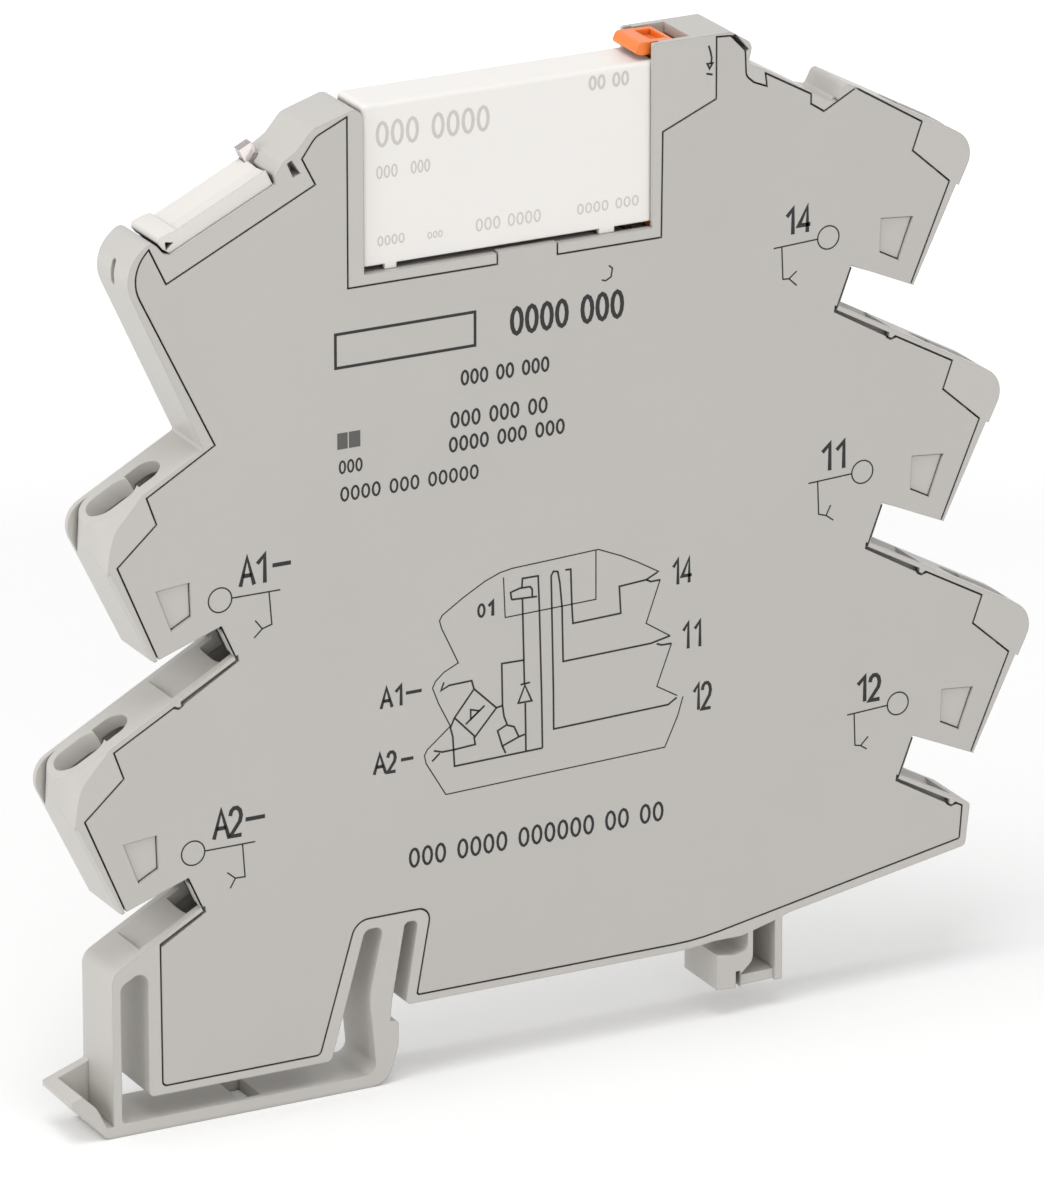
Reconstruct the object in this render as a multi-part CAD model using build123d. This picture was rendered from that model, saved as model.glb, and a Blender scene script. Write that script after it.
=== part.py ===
from build123d import *
from math import cos, hypot, radians, sin
import os

# Slim pluggable relay module for a 35 mm mounting rail, in millimetres.
# Origin: centre of the rail's top face, at half the module's thickness.
# +X runs along the module towards its contact side, +Y to the far side face, +Z away from the rail.

# Overall module
module_thick = 6.0
wall = 0.8
rim = 0.4
near = -module_thick / 2
far = module_thick / 2
inner_near = near + wall
inner_far = far - wall
row_middle = -1.43

# Steps of the terminal decks: each level is one pitch above the one below
pitch_in = 3.35
pitch_up = 22.3
deck_foot = (34.0, 12.3)
deck_slope = radians(28.8)
flank_slope = radians(25.8)
deck_length = 19.3
flank_length = 13.7
tip_round = 2.4
notch_in = 1.4
notch_rise = {-1: 3.1, 1: 3.65}

# Cut-back of the side cover at each terminal tip, from the deck's cover corner
cover_tip_along = deck_length - 6.02
cover_back = (-0.9, -2.5)
cover_shoulder = (2.8, -5.8)
cover_heel = (-1.0, -14.85)
cover_gap = 0.16
edge_bevel = 0.32
bevel_start = 4.2

# Conductor entry and release slot in each deck
entry_along = deck_length - 4.2
entry_length = 5.0
entry_width = 3.3
funnel_deep = 1.9
funnel_taper = 14
collar_wall = 0.45
collar_flare = 28.5
collar_deep = 4.3
band_thick = 0.55
release_along = deck_length - 7.8
release_length = 2.8
release_width = 3.0
chamber_start = deck_length - 12.3
chamber_end = deck_length - 1.2
chamber_deep = 9.7
chamber_wall = 1.2

# Trough for a jumper comb on the inner end of a deck, with the shaft behind it
trough_length = 6.3
trough_half = 2.35
trough_deep = 0.6
shaft_half = 1.95

# Mounting rail seat
rail_width = 35.0
rail_lip = 1.0
rail_play = 0.1
catch_x = rail_width / 2 + rail_play
leg = -catch_x
hook_reach = 3.1

# Release foot
foot_left = -44.1
post_thick = 0.8
bar_top = -5.9
bar_bottom = -7.1
block_left = -40.7
block_bottom = -3.9

# Shelf that carries the marker
shelf_left = (-38.18, 69.2)
shelf_right = (-24.38, 75.8)
shelf_thick = 2.0
marker_half = 2.65
marker_start = 2.9
marker_end = 12.15
guide_at = 12.6
guide_wide = 1.3
guide_thick = 1.0
guide_y = 1.75

# Relay and its pocket
relay_left = -19.6
relay_length = 28.0
relay_thick = 5.0
relay_body = 14.25
relay_shell = 0.45
standoff = 0.5
standoff_gap = 0.02
pocket_gap = 0.15
pocket_side_gap = 0.1
pocket_floor = 67.1
floor_thick = 0.9
frame_left = -21.2
lip_cover = 0.8
relay_right = relay_left + relay_length
relay_bottom = pocket_floor + standoff + standoff_gap
relay_top = relay_bottom + relay_body
pocket_left = relay_left - pocket_gap
pocket_right = relay_right + pocket_gap
pocket_far = relay_thick / 2 + pocket_side_gap
pocket_back_top = 80.5

# Tower and ejector lever
tower_top = 83.5
tower_left = pocket_right - lip_cover
tower_right = pocket_right + 6.75
tower_seam = tower_right - 1.5
pivot_x = pocket_right + 3.45
tower_roof_start = pivot_x - 0.4
pivot_z = 79.5
pivot_radius = 0.85
pivot_clearance = 0.05
pivot_deep = 0.45
lever_half = 2.15
room_half = 2.3
room_right = pivot_x + 1.35

# Metal strip, with the depth at which each tongue runs
spring_thick = 0.35
spring_width = 3.2
bar_thick = 0.6
bar_width = 3.4
blade_thick = 0.5
tongue_width = 1.8
layer_no = -1.95
layer_com = -0.25
layer_nc = 1.45

# Circuit board on pegs of the far wall
board_thick = 0.8
board_far = inner_far - 0.02
board_near = board_far - board_thick
board_top = 62.3
board_pegs = ((-28.5, 18.0), (-12.0, 50.0))
peg_radius = 0.8
layer_board = board_near - 0.02 - blade_thick

# Relay pins: the coil's from the left end of the relay, the contacts' from its right end
coil_pin_left = relay_left + 2.3
coil_pin_right = relay_left + 6.1
pin_no = relay_right - 9.7
pin_com = relay_right - 4.7
pin_nc = relay_right - 1.8
pin_thick = 0.5
pin_wide = 1.0
pin_tip = relay_bottom - 3.6
socket_gap = 0.08
socket_leaf = 0.35
socket_low = pin_tip - 1.0
socket_high = pocket_floor - floor_thick - 0.1


def deck_point(side, level, along, deep):
    """Point in the XZ plane: along the deck from its inner corner, and deep below the cover line."""
    u = deck_foot[0] - pitch_in * level + along * cos(deck_slope) - deep * sin(deck_slope)
    z = deck_foot[1] + pitch_up * level - along * sin(deck_slope) - deep * cos(deck_slope)
    return (row_middle + side * u, z)


def beside(side, level, du, dz):
    """Point given by its offset from the inner corner of a deck."""
    u = deck_foot[0] - pitch_in * level + du
    return (row_middle + side * u, deck_foot[1] + pitch_up * level + dz)


def behind_tip(side, level, *places):
    """Points given by how far they lie behind the deck's outer tip and below its cover line."""
    return [deck_point(side, level, deck_length - back, deep) for back, deep in places]


def shift(point, step, side=1):
    return (point[0] + side * step[0], point[1] + step[1])


def face(*corners):
    """Closed outline in the XZ plane; a third value rounds that corner."""
    points = [(c[0], c[1]) for c in corners]
    radii = [c[2] if len(c) > 2 else 0 for c in corners]
    return make_face(FilletPolyline(*points, radius=radii, close=True))


def slab(sketch, y0, y1):
    """Solid of an XZ sketch between two Y values."""
    return extrude(Plane.XZ.offset(-y1) * sketch, amount=y1 - y0)


def block(x0, x1, y0, y1, z0, z1):
    return Pos((x0 + x1) / 2, (y0 + y1) / 2, (z0 + z1) / 2) * Box(x1 - x0, y1 - y0, z1 - z0)


def rounded(corner, radius):
    return (corner[0], corner[1], radius)


# Outlines of a terminal tooth


def tooth_tip(side, level):
    """Outer tip, heel and notch corner of the housing at one terminal."""
    tip = deck_point(side, level, deck_length, -rim)
    heel = shift(tip, (-flank_length * sin(flank_slope), -flank_length * cos(flank_slope)), side)
    notch = beside(side, level - 1, notch_in, notch_rise[side])
    return [rounded(tip, tip_round), rounded(heel, 0.3), notch]


def cover_tip(side, level):
    """Stepped end of the side cover at one terminal."""
    corner = deck_point(side, level, cover_tip_along, 0)
    notch = beside(side, level - 1, notch_in, notch_rise[side])
    steps = [shift(corner, step, side) for step in (cover_back, cover_shoulder, cover_heel)]
    return [corner, *steps, notch]


def on_shelf(along, high, radius=0.0):
    """Corner given along the marker shelf and high above its top."""
    dx = shelf_right[0] - shelf_left[0]
    dz = shelf_right[1] - shelf_left[1]
    length = hypot(dx, dz)
    up = high + shelf_thick
    return (
        shelf_left[0] + (along * dx - up * dz) / length,
        shelf_left[1] + (along * dz + up * dx) / length,
        radius,
    )


def housing_outline():
    """Outer outline of the housing with its release foot."""
    deck_end = deck_point(-1, 0, (row_middle - foot_left - deck_foot[0]) / cos(deck_slope), -rim)
    corners = [
        (foot_left - 0.6, bar_bottom, 1.0),
        (-47.3, -4.3, 3.0),
        (-48.0, -3.6),
        (-48.0, -3.1),
        (foot_left, -1.7, 0.3),
        (foot_left, deck_end[1], 1.5),
        deck_point(-1, 0, 0, -rim),
    ]
    corners += tooth_tip(-1, 1)[::-1]
    corners += [deck_point(-1, 1, 0, -rim)]
    corners += tooth_tip(-1, 2)[::-1]
    corners += [
        (-34.9, 53.95, 0.3),
        (-42.55, 70.6, 3.4),
        (-39.5, 73.1, 0.8),
        on_shelf(0.9, 0.45, 0.3),
        on_shelf(1.4, 0.0),
        on_shelf(marker_end + 0.15, 0.0),
        on_shelf(marker_end + 0.4, 0.7, 0.4),
        on_shelf(marker_end + 1.5, 1.35, 0.5),
        (-26.0, 78.95, 1.0),
        (-24.6, 80.6, 1.4),
        (pocket_left, 82.1, 1.0),
        (pocket_left, pocket_back_top),
        (tower_left, pocket_back_top),
        (tower_left, tower_top, 0.2),
        (tower_right, tower_top, 0.8),
        (tower_right + 2.1, 82.2, 0.9),
        (tower_right + 1.65, 80.4, 0.4),
        (tower_right + 3.3, 79.7, 0.5),
        (24.7, 76.1, 0.5),
        (25.7, 75.8, 0.3),
        (26.5, 77.35, 0.5),
    ]
    corners += tooth_tip(1, 3)
    corners += [deck_point(1, 2, 0, -rim)]
    corners += tooth_tip(1, 2)
    corners += [deck_point(1, 1, 0, -rim)]
    corners += tooth_tip(1, 1)
    corners += [
        deck_point(1, 0, 0, -rim),
        rounded(deck_point(1, 0, 8.1, -rim), 0.5),
        (39.4, 4.8, 0.5),
        (12.5, 0.0, 25.0),
        (leg + 1.5, 0.0, 0.4),
        (leg + 2.75, 7.7, 0.5),
        (leg + 1.45, 7.7, 0.5),
        (leg + 0.15, 0.5, 1.0),
        (leg, -rail_lip - 0.25),
        (leg + 0.8, -rail_lip - 0.35, 0.3),
        (leg + 0.8, -3.6, 2.0),
        (leg - 0.3, bar_bottom, 2.2),
    ]
    return face(*corners)


def foot_gap():
    """Gap between the lower block and the post, bar and spring leg around it."""
    return face(
        (block_left, block_bottom, 0.5),
        (block_left, 8.15, 0.9),
        (foot_left + post_thick, 6.75, 0.9),
        (foot_left + post_thick, bar_top, 0.4),
        (leg - 1.3, bar_top, 1.0),
        (leg - 2.0, 1.4, 6.0),
        (leg - 0.6, 7.7, 0.6),
        (leg - 2.4, 7.7, 0.8),
        (leg - 5.7, block_bottom, 0.6),
    )


def cover_outline():
    """Outline of the inset side cover."""
    corners = [
        (-39.5, -3.2, 0.5),
        deck_point(-1, 0, 4.73, 0),
        deck_point(-1, 0, 0, 0),
    ]
    corners += cover_tip(-1, 1)[::-1]
    corners += [deck_point(-1, 1, 0, 0)]
    corners += cover_tip(-1, 2)[::-1]
    corners += [
        (-33.95, 54.2),
        (-41.85, 70.3, 3.6),
        (-39.75, 72.5),
        shelf_left,
        shelf_right,
        (-25.6, 78.2),
        (-24.3, 80.0, 2.0),
        (frame_left, 81.4),
        (frame_left, pocket_floor - floor_thick),
        (-7.2, pocket_floor - floor_thick),
        (-7.2, pocket_floor + 0.3),
        (-1.3, pocket_floor + 0.3),
        (-1.3, pocket_floor - floor_thick),
        (pocket_right, pocket_floor - floor_thick),
        (pocket_right + 0.1, 75.6),
        (tower_seam, 77.8),
        (tower_seam, tower_top - 0.15),
        (tower_right, tower_top - 0.25, 0.3),
        (tower_right + 1.45, 81.7, 0.5),
        (tower_right + 1.55, 79.4, 0.8),
        (tower_right + 2.3, 78.75),
        (tower_right + 3.4, 78.3),
        (tower_right + 3.25, 79.5),
        (23.2, 76.9),
        (23.2, 76.0),
        (24.4, 75.2),
        (27.5, 76.85),
    ]
    corners += cover_tip(1, 3)
    corners += [deck_point(1, 2, 0, 0)]
    corners += cover_tip(1, 2)
    corners += [deck_point(1, 1, 0, 0)]
    corners += cover_tip(1, 1)
    corners += [
        deck_point(1, 0, 0, 0),
        deck_point(1, 0, 7.5, 0),
        (38.9, 5.5, 0.3),
        (12.5, 0.65, 25.0),
        (leg + 2.5, 0.65, 0.3),
        (leg + 3.95, 8.6, 1.0),
        (leg - 3.2, 8.6, 1.6),
        (leg - 6.7, -3.2, 0.6),
    ]
    return face(*corners)


def latch_window(side, level, gap=0.0):
    """Trapezium window through which a housing latch holds the cover."""
    mid = (8.85, -16.5)
    shape = [(7.6, -14.6), (10.8, -14.9), (9.4, -18.7), (7.5, -17.7)]
    grow = 1 - gap
    return face(*[
        beside(side, level, mid[0] + (du - mid[0]) * grow, mid[1] + (dz - mid[1]) * grow)
        for du, dz in shape
    ])


terminals = {"a1": (-1, 2), "a2": (-1, 1), "14": (1, 3), "11": (1, 2), "12": (1, 1)}


def deck_plane(side, level, along):
    """Plane on a deck, looking out of the deck, with its x axis along the slope."""
    x, z = deck_point(side, level, along, -rim)
    down = (side * cos(deck_slope), 0, -sin(deck_slope))
    out = (side * sin(deck_slope), 0, cos(deck_slope))
    return Plane(origin=(x, 0, z), x_dir=down, z_dir=out)


def collar_relief(side, level):
    """Room around the flared collar of a conductor entry; a band of the far wall stays."""
    inner = cover_tip_along + 0.1
    outer = entry_along + entry_length / 2 + collar_wall
    half = entry_width / 2 + collar_wall
    plan = FilletPolyline(
        (inner, far), (inner, -far), (outer, -half), (outer, half),
        radius=[0, 0, half - 0.1, half - 0.1],
        close=True,
    )
    deck = deck_plane(side, level, 0)
    collar = extrude(deck * make_face(plan), amount=-collar_deep - 0.5, taper=-collar_flare)
    reach = deck_length + 1.5
    across = module_thick - band_thick + 0.2
    middle = side * (near - 0.2 + across / 2)
    room = Pos((inner + reach) / 2, middle, 0.3 - (collar_deep + 0.3) / 2)
    return deck * room * Box(reach - inner, across, collar_deep + 0.3) - collar


def jumper_trough(side, level):
    """Shallow trough along a deck, and the shaft that opens at its inner end."""
    deck = deck_plane(side, level, -0.2)
    across = Plane(origin=deck.origin, x_dir=deck.y_dir, z_dir=deck.x_dir)
    bow = ThreePointArc((-trough_half, 0), (0, -trough_deep), (trough_half, 0))
    lid = Polyline((trough_half, 0), (trough_half, 0.3), (-trough_half, 0.3), (-trough_half, 0))
    trough = extrude(across * make_face([bow, lid]), amount=trough_length + 0.2)
    shaft = deck * Pos(-0.05, 0, 0.5) * Box(2.7, 2 * shaft_half, 4.2)
    return trough + shaft


def tip_bevel(side, level):
    """Bevel of the near edge along the outer flank of a tip."""
    heel = tooth_tip(side, level)[1]
    out = (side * cos(flank_slope), 0, -sin(flank_slope))
    flank_up = (side * sin(flank_slope), 0, cos(flank_slope))
    plane = Plane(origin=(heel[0], 0, heel[1]), x_dir=out, z_dir=flank_up)
    corner = side * (near - 0.05)
    profile = Polyline(
        (-edge_bevel, corner), (0.05, corner), (0.05, side * (near + edge_bevel + 0.15)), close=True
    )
    return extrude(plane * make_face(profile), amount=flank_length - bevel_start)


def terminal_cuts(side, level):
    """Chamber, conductor funnel and release slot of one terminal, and its edges."""
    chamber = slab(
        face(
            deck_point(side, level, chamber_start, chamber_wall),
            rounded(deck_point(side, level, chamber_end, chamber_wall), 1.5),
            deck_point(side, level, chamber_end, chamber_deep),
            deck_point(side, level, chamber_start, chamber_deep),
        ),
        inner_near,
        inner_far,
    )
    entry = deck_plane(side, level, entry_along)
    oval = entry * SlotOverall(entry_length, entry_width)
    funnel = extrude(oval, amount=-funnel_deep, taper=funnel_taper)
    release = deck_plane(side, level, release_along)
    half_round = Pos(-release_length / 2 + release_width / 2, 0) * Circle(release_width / 2)
    flat = Pos(release_width / 4, 0) * Rectangle(release_length - release_width / 2, release_width)
    slot = extrude(release * (half_round + flat), amount=-3.0)
    cuts = chamber + funnel + slot + jumper_trough(side, level - 1) + tip_bevel(side, level)
    if side < 0:
        cuts += collar_relief(side, level)
    return cuts


def make_fixed_foot():
    """Hook that grips the right edge of the rail, with its stiffening box."""
    web = catch_x + 0.5
    box_right = catch_x + 3.4
    hook = face(
        (web, 1.5),
        (web, -2.2, 1.2),
        (web - 1.2, -3.3),
        (web - 1.2, -4.6, 0.2),
        (catch_x - hook_reach, -4.4),
        (catch_x - hook_reach, -rail_lip - 0.1),
        (catch_x - 1.4, -rail_lip - 0.4, 0.6),
        (catch_x, -rail_lip - 0.1, 0.6),
        (catch_x, 1.5),
    )
    foot = slab(hook, near, far)
    foot += slab(face((box_right - 0.7, 1.5), (box_right, 1.5), (box_right, -4.5), (box_right - 0.7, -4.5)),
                 near, far)
    foot += slab(face((web - 1.3, -4.5), (box_right - 0.1, -4.4), (box_right - 0.1, -3.5), (web - 1.3, -3.5)),
                 near + 0.3, far)
    foot += slab(face((web - 0.5, 1.5), (box_right - 0.1, 1.5), (box_right - 0.1, -4.2), (web - 0.5, -4.2)),
                 far - 1.6, far)
    foot += slab(face((web + 1.0, 1.5), (web + 1.4, 1.5), (web + 1.4, -4.1), (web + 1.0, -4.1)),
                 far - 2.6, far)
    foot += slab(face((14, 2.2), (26, 4.2), (26, 3.1), (20.4, 1.2), (17.0, 0.3), (14, 0.3)), near, far)
    slit = face((web - 1.7, -3.0), (web - 1.25, -3.0), (web - 1.25, -5.0), (web - 1.7, -5.0))
    return foot - slab(slit, near, near + 2.6)


def make_housing():
    """Moulded tray with its terminal chambers, relay pocket, tower and foot."""
    body = slab(housing_outline(), near, far) - slab(foot_gap(), near, far)
    body += make_fixed_foot()
    tab_pocket = face(
        (foot_left, -1.0),
        (-47.0, -1.0),
        (-47.0, -2.75),
        (-45.7, -4.0, 2.0),
        (-44.75, -6.0),
        (foot_left, -6.0),
    )
    body -= slab(tab_pocket, near, far - 1.0)
    body -= block(-32.0, -29.9, near + 0.5, 1.8, bar_bottom, bar_top)
    cover = cover_outline()
    body -= slab(cover, near, inner_near)
    cavity = offset(cover, amount=-0.9, kind=Kind.INTERSECTION)
    body -= slab(cavity, inner_near, inner_far)
    for side, level in terminals.values():
        body -= terminal_cuts(side, level)
    pocket = block(pocket_left, tower_left, near, pocket_far, pocket_floor, 90)
    pocket += block(tower_left, pocket_right, near + 0.4, pocket_far, pocket_floor, 90)
    body -= pocket
    lever_room = face(
        (pocket_right - 0.2, 66.0),
        (room_right, 66.0),
        (room_right, 80.8, 0.5),
        (12.4, tower_top - 0.9, 0.4),
        (pocket_right - 0.2, tower_top - 0.9),
    )
    body -= slab(lever_room, -room_half, room_half)
    body -= block(tower_left - 1, tower_roof_start, -room_half, room_half, 81.0, 85)
    body -= block(2.8, pocket_right, -room_half, room_half, 66.6, pocket_floor + 1)
    pivot = Plane.XZ.offset(-far + wall / 2 - 0.05) * Circle(pivot_radius + pivot_clearance)
    pivot_hole = Pos(pivot_x, 0, pivot_z) * extrude(pivot, amount=module_thick - wall + 0.1)
    body -= pivot_hole
    lip_slot = face((15.2, 83.1), (15.7, 83.3), (17.0, 81.75), (16.5, 81.4))
    body -= slab(lip_slot, near, 0.5)
    for x in (coil_pin_left, coil_pin_right, pin_no, pin_com, pin_nc):
        body -= block(x - 0.45, x + 0.45, -0.75, 0.75, pocket_floor - 2, pocket_floor + 0.1)
        body -= block(x - 0.75, x + 0.75, -0.7, 0.7, pocket_floor - 2, pocket_floor - floor_thick)
    nose_slot = slab(face((-42.4, 71.0), (-40.6, 71.0), (-40.6, 68.8), (-42.4, 68.8)), -0.3, 0.3)
    body -= fillet(nose_slot.edges().filter_by(Axis.X), 0.28)
    key_hole = face(
        on_shelf(13.95, 1.05), on_shelf(14.45, 1.1), on_shelf(14.65, -0.4), on_shelf(13.9, -0.35)
    )
    body -= slab(key_hole, near, near + 1.6)
    for side, level in terminals.values():
        body += slab(latch_window(side, level, 0.06), near + 0.25, inner_far)
        body += slab(cover_nub(side, level - 1), near, near + 0.5)
    for x, z in board_pegs:
        body += peg(x, z)
    return body - shelf_plane() * guide_solid(0.05)


def along_deck(side, level, *corners):
    """Outline given by its places along and below the cover line of a deck."""
    return face(*[deck_point(side, level, along, deep) for along, deep in corners])


def cover_nub(side, level):
    """Snap nub of the housing at the end of a jumper trough."""
    return along_deck(side, level, (5.95, -0.1), (6.1, 0.35), (6.4, 0.35), (6.7, -0.1))


def make_cover():
    """Inset side plate with its latch windows and the relieved edge beside each trough."""
    plate = slab(offset(cover_outline(), amount=-cover_gap, kind=Kind.INTERSECTION), near, inner_near)
    for side, level in terminals.values():
        plate -= slab(latch_window(side, level), near, inner_near)
        relief = along_deck(
            side, level - 1,
            (-0.4, -0.3), (-0.2, 0.28), (5.7, 0.42), (6.0, 0.55), (6.45, 0.55), (6.9, 0.1), (6.9, -0.3),
        )
        plate -= slab(relief, near, inner_near)
    return plate


def make_lever():
    """Ejector lever: nose over the relay, hub with trunnions, leg and forked finger."""
    nose = tower_left - 1.3
    body = face(
        (nose, relay_top + 0.65, 0.3),
        (nose + 0.75, relay_top + 0.45),
        (tower_left + 0.05, relay_top + 0.5),
        (pocket_right + 0.15, relay_top + 0.9),
        (pocket_right + 0.15, pivot_z),
        (pivot_x - 0.6, pivot_z - 3.0, 1.0),
        (pivot_x - 0.6, relay_bottom - 0.1),
        (relay_right - 0.4, relay_bottom - 0.1),
        (relay_right - 0.4, relay_bottom - 0.75),
        (pivot_x + 0.5, relay_bottom - 0.75, 0.5),
        (pivot_x + 0.5, pivot_z - 3.0, 1.5),
        (pivot_x + 0.95, pivot_z - 0.6, 0.5),
        (pivot_x + 0.95, pivot_z + 0.8, 0.5),
        (pivot_x - 1.5, 82.1, 0.4),
        (pivot_x - 1.7, tower_top - 0.1, 0.3),
        (nose + 0.45, tower_top - 0.05, 0.5),
    )
    lever = slab(body, -lever_half, lever_half)
    fork = block(relay_right - 4, relay_right + 2.1, -0.8, 0.8, relay_bottom - 2, relay_bottom + 0.2)
    lever -= fork
    grip = face(
        (nose + 1.8, tower_top + 1.0),
        (nose + 3.4, tower_top + 1.0),
        (nose + 3.3, tower_top - 0.6),
        (nose + 1.9, tower_top - 0.6),
    )
    lever -= slab(grip, -1.4, 1.4)
    for y in (-lever_half - pivot_deep, lever_half - pivot_deep):
        stub = extrude(Plane.XZ.offset(-y - 2 * pivot_deep) * Circle(pivot_radius), amount=2 * pivot_deep)
        lever += Pos(pivot_x, 0, pivot_z) * stub
    return lever


def shelf_plane():
    """Plane on the marker shelf: x along the slope, y across the module."""
    start = on_shelf(0, 0)
    end = on_shelf(1, 0)
    dx = end[0] - start[0]
    dz = end[1] - start[1]
    return Plane(origin=(start[0], 0, start[1]), x_dir=(dx, 0, dz), z_dir=(-dz, 0, dx))


def make_marker():
    """Marker carrier: troughed bar with a flared left end that sits on the sloping shelf."""
    half = marker_half
    profile = make_face(Polyline(
        (-half, 0), (half, 0), (half, 1.05), (half - 0.7, 1.3), (half - 2.1, 1.15), (-0.4, 1.0),
        (-half + 0.7, 1.2), (-half, 1.5), (-half, 0),
    ))
    bar = extrude(Plane.YZ * profile, amount=marker_end - marker_start)
    flare = FilletPolyline(
        (1.5, 0), (3.0, 0), (3.0, 1.4), (2.2, 1.6), (1.3, 1.7), (0.95, 1.3), (1.1, 0.65),
        radius=[0, 0, 0, 0.5, 0.2, 0.2, 0.2],
        close=True,
    )
    mouth = Polyline((1.3, 0.4), (2.2, 0.65), (1.55, 1.1), close=True)
    marker = Pos(marker_start, 0, 0) * bar + slab(make_face(flare), -half, half)
    marker -= slab(make_face(mouth), -half, -half + 1.7)
    marker -= Pos(guide_at, guide_y, 1.0) * Box(guide_wide + 0.2, guide_thick + 0.3, 4.0)
    return shelf_plane() * Pos(0, 0, 0.02) * marker


def guide_solid(play=0.0):
    """Light guide in the shelf's own axes: a bar with a shoulder below the shelf wall."""
    width = guide_wide + 2 * play
    thick = guide_thick + 2 * play
    bar = Pos(guide_at, guide_y, -1.4) * Box(width, thick, 7.6)
    shoulder = Pos(guide_at, guide_y - 0.2, -3.3) * Box(width + 0.5, thick, 0.5)
    return bar if play else bar + shoulder


def make_light_guide():
    """Clear guide that carries the status lamp's light up behind the marker."""
    return shelf_plane() * guide_solid()


def make_clamp_spring(side, level):
    """Push-in clamping spring of one terminal, bent from flat strip."""
    points = behind_tip(side, level, (3.1, 6.9), (9.7, 6.9), (11.3, 5.4), (10.3, 3.0), (7.9, 2.5), (2.8, 5.7))
    path = FilletPolyline(*points, radius=[1.1, 1.2, 0.9, 1.4])
    return slab(trace(path, spring_thick), -spring_width / 2, spring_width / 2)


def make_current_bar(side, level, route, y0):
    """Current bar: clamped leg in the terminal and a flat tongue that leads inwards."""
    path = FilletPolyline(*behind_tip(side, level, (1.9, 2.2), (1.9, 7.4), (11.3, 7.4)), radius=0.8)
    bar = slab(trace(path, bar_thick), -bar_width / 2, bar_width / 2)
    tongue = trace(Polyline(*behind_tip(side, level, (9.9, 8.02), (11.9, 8.02)), *route), tongue_width)
    return bar + slab(tongue, y0, y0 + blade_thick)


def socket_fork(x, y0, y1):
    """Two leaves that grip one relay pin, on a foot that reaches from y0 to y1."""
    gap = pin_thick / 2 + socket_gap
    out = gap + socket_leaf
    fork = block(x - out, x - gap, -0.6, 0.6, socket_low, socket_high)
    fork += block(x + gap, x + out, -0.6, 0.6, socket_low, socket_high)
    return fork + block(x - out, x + out, y0, y1, socket_low - 0.5, socket_low)


def make_current_bars():
    """The five current bars; those of the contact side end in forks under the relay."""
    under = socket_low - 0.3
    bars = {
        "14": make_current_bar(1, 3, [(20.0, 61.0), (pin_no, 61.0), (pin_no, under)], layer_no),
        "11": make_current_bar(1, 2, [(22.0, 52.0), (pin_com, 56.0), (pin_com, under)], layer_com),
        "12": make_current_bar(1, 1, [(27.0, 29.0), (pin_nc, 48.0), (pin_nc, under)], layer_nc),
        "a1": make_current_bar(-1, 2, [(-28.0, 46.5), (-23.5, 46.5)], layer_board),
        "a2": make_current_bar(-1, 1, [(-31.0, 24.5), (-27.0, 24.5)], layer_board),
    }
    bars["14"] += socket_fork(pin_no, layer_no, 0.6)
    bars["11"] += socket_fork(pin_com, -0.6, 0.6)
    bars["12"] += socket_fork(pin_nc, -0.6, layer_nc + blade_thick)
    return bars


def make_coil_contact(x):
    """Fork for one coil pin with a tail soldered to the board."""
    tail = block(x - 0.5, x + 0.5, board_near - 0.42, board_near - 0.02, 59.5, socket_low)
    return socket_fork(x, -0.6, board_near - 0.02) + tail


def make_board():
    """Printed circuit board between the coil terminals and the coil sockets."""
    outline = face(
        (-31.5, 14.0), (-31.5, 30.0), (-28.0, 33.0), (-28.0, 55.0), (-30.5, 58.0), (-30.5, 69.0),
        (-24.2, 69.0), (-24.2, board_top), (-11.5, board_top), (-11.5, 57.0), (-8.0, 54.0), (-8.0, 14.0),
    )
    board = slab(outline, board_near, board_far)
    for x, z in board_pegs:
        board -= peg(x, z, 0.05)
    return board


def peg(x, z, play=0.0):
    """Round locating peg on the far wall."""
    disc = Plane.XZ.offset(-inner_far) * Circle(peg_radius + play)
    return Pos(x, 0, z) * extrude(disc, amount=board_thick + 0.5)


def chip(x0, x1, z0, z1, thick):
    """Body of a component that sits on the board's near face."""
    return block(x0, x1, board_near - thick, board_near - 0.02, z0, z1)


def make_rectifier():
    body = chip(-27.0, -22.2, 33.0, 37.0, 1.6)
    for x in (-26.2, -23.6):
        body += chip(x, x + 0.6, 32.0, 38.0, 0.25)
    return body


def make_diode():
    body = chip(-19.6, -17.0, 38.0, 42.4, 2.0)
    return body + chip(-19.05, -17.55, 37.2, 43.2, 0.25)


def make_resistor():
    body = chip(-24.6, -23.0, 27.0, 30.2, 0.6)
    return body + chip(-24.65, -22.95, 26.95, 27.5, 0.65) + chip(-24.65, -22.95, 29.7, 30.25, 0.65)


def make_led():
    body = chip(-27.2, -24.4, 66.0, 68.2, 1.2)
    lens = Plane.XY.offset(68.2) * Pos(-25.8, board_near - 0.62) * Circle(0.5)
    return body + extrude(lens, amount=0.8)


# Relay mechanism

relay_top_inner = relay_top - relay_shell
cavity_half = relay_thick / 2 - relay_shell
case_inner_left = relay_left + relay_shell
case_inner_right = relay_right - relay_shell
base_top = relay_bottom + 1.5
coil_left = relay_left + 1.75
coil_right = relay_right - 13.0
coil_axis = relay_bottom + 7.65
flange_thick = 0.6
flange_half = 2.0
tube_half = 3.1
core_half = 2.6
winding_half = 3.7
yoke_bottom = base_top + 0.02
yoke_thick = 1.0
yoke_half = 1.7
core_end = coil_right + 0.6
armature_left = coil_right + 1.3
armature_thick = 0.8
hinge_z = yoke_bottom + 0.5
armature_top = relay_bottom + 12.6
card_low = armature_top - 0.8
card_high = armature_top + 0.3
blade_half = 0.1
button_half = 0.42
contact_z = relay_bottom + 9.6
contact_radius = 0.85
contact_leaf = 0.35
button_proud = 0.3
no_face = pin_com - 1.4
nc_face = pin_com + 0.74
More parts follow.
